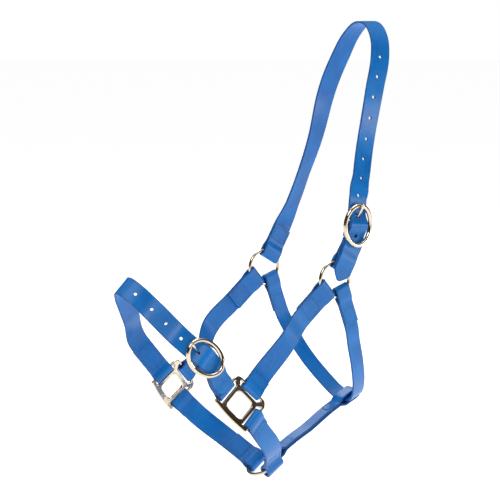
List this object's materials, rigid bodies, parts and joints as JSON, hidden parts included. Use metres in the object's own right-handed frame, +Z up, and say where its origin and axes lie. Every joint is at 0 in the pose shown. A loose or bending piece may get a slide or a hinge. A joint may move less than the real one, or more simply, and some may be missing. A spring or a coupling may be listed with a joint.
{
  "type": "horse halter",
  "caption": "Blue strap horse halter with an adjustable crown over the poll, a buckled noseband, cheek and throat straps, rings and cast halter squares.",
  "frame": {"origin": "underside of the crown strap at the poll, on the mid-plane", "axes": "+Z up, -X towards the nose, -Y towards the near (left) side of the horse, which carries both buckles"},
  "size_m": [0.3592, 0.1739, 0.5325],
  "materials": {
    "strap": "smooth coated, semi-gloss",
    "hardware": "polished pale plating",
    "thread": "tone-on-tone sewing thread"
  },
  "bodies": {
    "head_frame": {"near_cheek_strap": "strap", "far_cheek_strap": "strap", "noseband_strap": "strap", "noseband_chape": "strap", "near_chin_strap": "strap", "far_chin_strap": "strap", "throat_strap": "strap", "near_halter_square": "hardware", "far_halter_square": "hardware", "near_cheek_strap_ring_stitch": "thread", "far_cheek_strap_ring_stitch": "thread", "near_throat_stitch": "thread", "far_throat_stitch": "thread", "near_chin_strap_stitch": "thread", "far_chin_strap_stitch": "thread", "noseband_chape_stitch": "thread", "noseband_strap_stitch": "thread"},
    "crown": {"crown_strap": "strap", "crown_chape": "strap", "crown_chape_stitch": "thread", "crown_strap_stitch": "thread"},
    "near_ring": {"near_upper_ring": "hardware"},
    "far_ring": {"far_upper_ring": "hardware"},
    "lead_ring": {"chin_ring": "hardware"},
    "jaw": {"jaw_strap": "strap", "jaw_strap_stitch": "thread"},
    "crown_buckle": {"crown_buckle_frame": "hardware"},
    "crown_tongue": {"crown_buckle_tongue": "hardware"},
    "nose_buckle": {"noseband_buckle_frame": "hardware"},
    "nose_tongue": {"noseband_buckle_tongue": "hardware"}
  },
  "joints": [
    {"name": "crown_swing", "type": "hinge", "parent": "head_frame", "child": "crown", "pos_m": [-0.098, 0, -0.294], "axis": [0, 1, 0], "range_deg": [-35, 8]},
    {"name": "near_ring_spin", "type": "hinge", "parent": "head_frame", "child": "near_ring", "pos_m": [-0.098, -0.072, -0.294], "axis": [0, 1, 0], "continuous": true},
    {"name": "far_ring_spin", "type": "hinge", "parent": "head_frame", "child": "far_ring", "pos_m": [-0.098, 0.072, -0.294], "axis": [0, 1, 0], "continuous": true},
    {"name": "lead_ring_spin", "type": "hinge", "parent": "head_frame", "child": "lead_ring", "pos_m": [-0.148, 0, -0.516], "axis": [0.5446, 0, -0.8387], "continuous": true},
    {"name": "jaw_strap_swing", "type": "hinge", "parent": "head_frame", "child": "jaw", "pos_m": [-0.148, 0, -0.516], "axis": [0.5446, 0, -0.8387], "range_deg": [-1, 1]},
    {"name": "crown_buckle_rock", "type": "hinge", "parent": "crown", "child": "crown_buckle", "pos_m": [-0.0715, -0.077, -0.232], "axis": [0.9962, 0, -0.0872], "range_deg": [-1.5, 1.5]},
    {"name": "crown_tongue_lift", "type": "hinge", "parent": "crown_buckle", "child": "crown_tongue", "pos_m": [-0.0715, -0.077, -0.232], "axis": [0.9962, 0, -0.0872], "range_deg": [0, 4]},
    {"name": "nose_buckle_rock", "type": "hinge", "parent": "head_frame", "child": "nose_buckle", "pos_m": [-0.2776, -0.07255, -0.3678], "axis": [0.6696, 0.0084, 0.7426], "range_deg": [-1.5, 1.5]},
    {"name": "nose_tongue_lift", "type": "hinge", "parent": "nose_buckle", "child": "nose_tongue", "pos_m": [-0.2776, -0.07255, -0.3678], "axis": [0.6696, 0.0084, 0.7426], "range_deg": [0, 4]}
  ]
}
